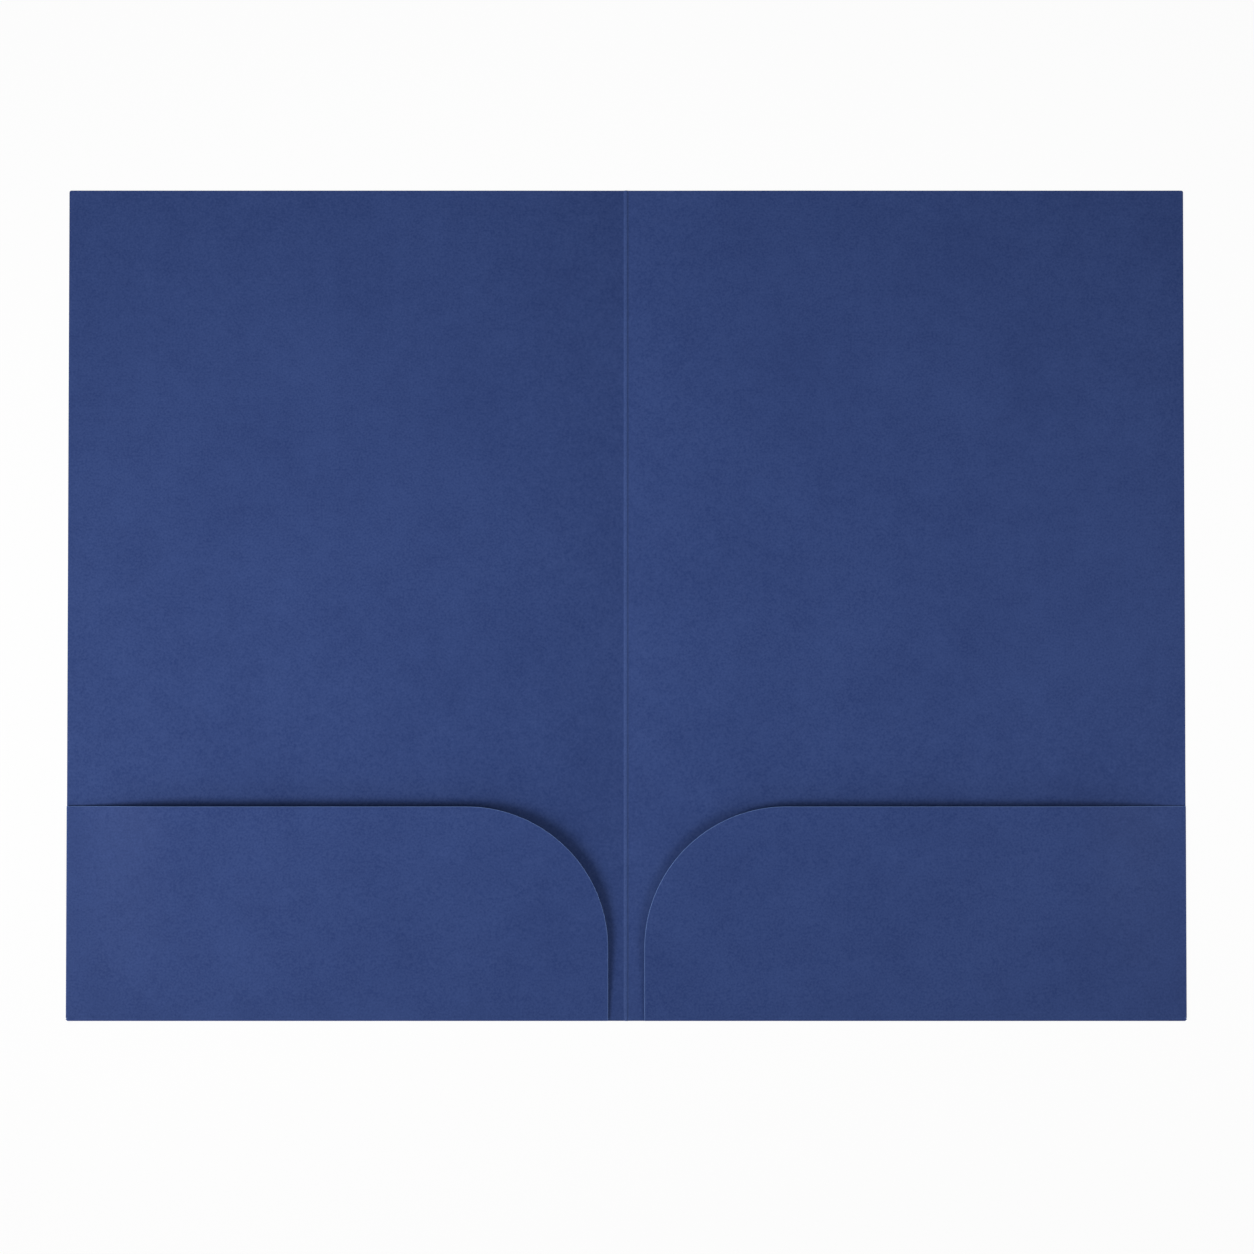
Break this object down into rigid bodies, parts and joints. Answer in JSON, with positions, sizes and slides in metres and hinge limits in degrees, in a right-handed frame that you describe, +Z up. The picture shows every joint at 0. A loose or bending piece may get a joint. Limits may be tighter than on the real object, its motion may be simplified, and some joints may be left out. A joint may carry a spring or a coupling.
{
  "type": "two pocket folder",
  "caption": "Small card folder lying open, with a creased spine and a glued pocket with a rounded inner corner along the bottom of each cover.",
  "frame": {"origin": "on the table, under the middle of the spine and half-way up the covers", "axes": "+X across the open folder to the right, +Y up the page, +Z up from the table"},
  "size_m": [0.3074, 0.2286, 0.0045],
  "materials": {
    "card": "uncoated navy blue card, dyed through, matt",
    "glue": "dried cream adhesive"
  },
  "bodies": {
    "right_cover": {"right_cover": "card", "right_bottom_fold": "card", "right_side_fold": "card", "right_glue_tab": "card", "right_glue_strip": "glue"},
    "spine": {"spine_crease": "card"},
    "left_cover": {"left_cover": "card", "left_bottom_fold": "card", "left_side_fold": "card", "left_glue_tab": "card", "left_glue_strip": "glue"},
    "left_pocket": {"left_pocket": "card", "left_pocket_side": "card"},
    "right_pocket": {"right_pocket": "card", "right_pocket_side": "card"}
  },
  "joints": [
    {"name": "spine_right_score", "type": "hinge", "parent": "right_cover", "child": "spine", "pos_m": [0.00075, 0, 0.0003], "axis": [0, 1, 0], "range_deg": [0, 90]},
    {"name": "spine_left_score", "type": "hinge", "parent": "spine", "child": "left_cover", "pos_m": [-0.00075, 0, 0.0003], "axis": [0, 1, 0], "range_deg": [0, 90]},
    {"name": "left_pocket_crease", "type": "hinge", "parent": "left_cover", "child": "left_pocket", "pos_m": [-0.0793, -0.1138, 0.0005], "axis": [-1, 0, 0], "range_deg": [0, 3.42], "deforming": ["left_pocket_side"]},
    {"name": "right_pocket_crease", "type": "hinge", "parent": "right_cover", "child": "right_pocket", "pos_m": [0.0793, -0.1138, 0.0005], "axis": [-1, 0, 0], "range_deg": [0, 3.42], "deforming": ["right_pocket_side"]}
  ],
  "couplings": [
    {"joint": "spine_left_score", "follows": "spine_right_score", "ratio": 1},
    {"joint": "left_pocket_crease", "follows": "spine_right_score", "ratio": 0.038},
    {"joint": "right_pocket_crease", "follows": "spine_right_score", "ratio": 0.038}
  ]
}
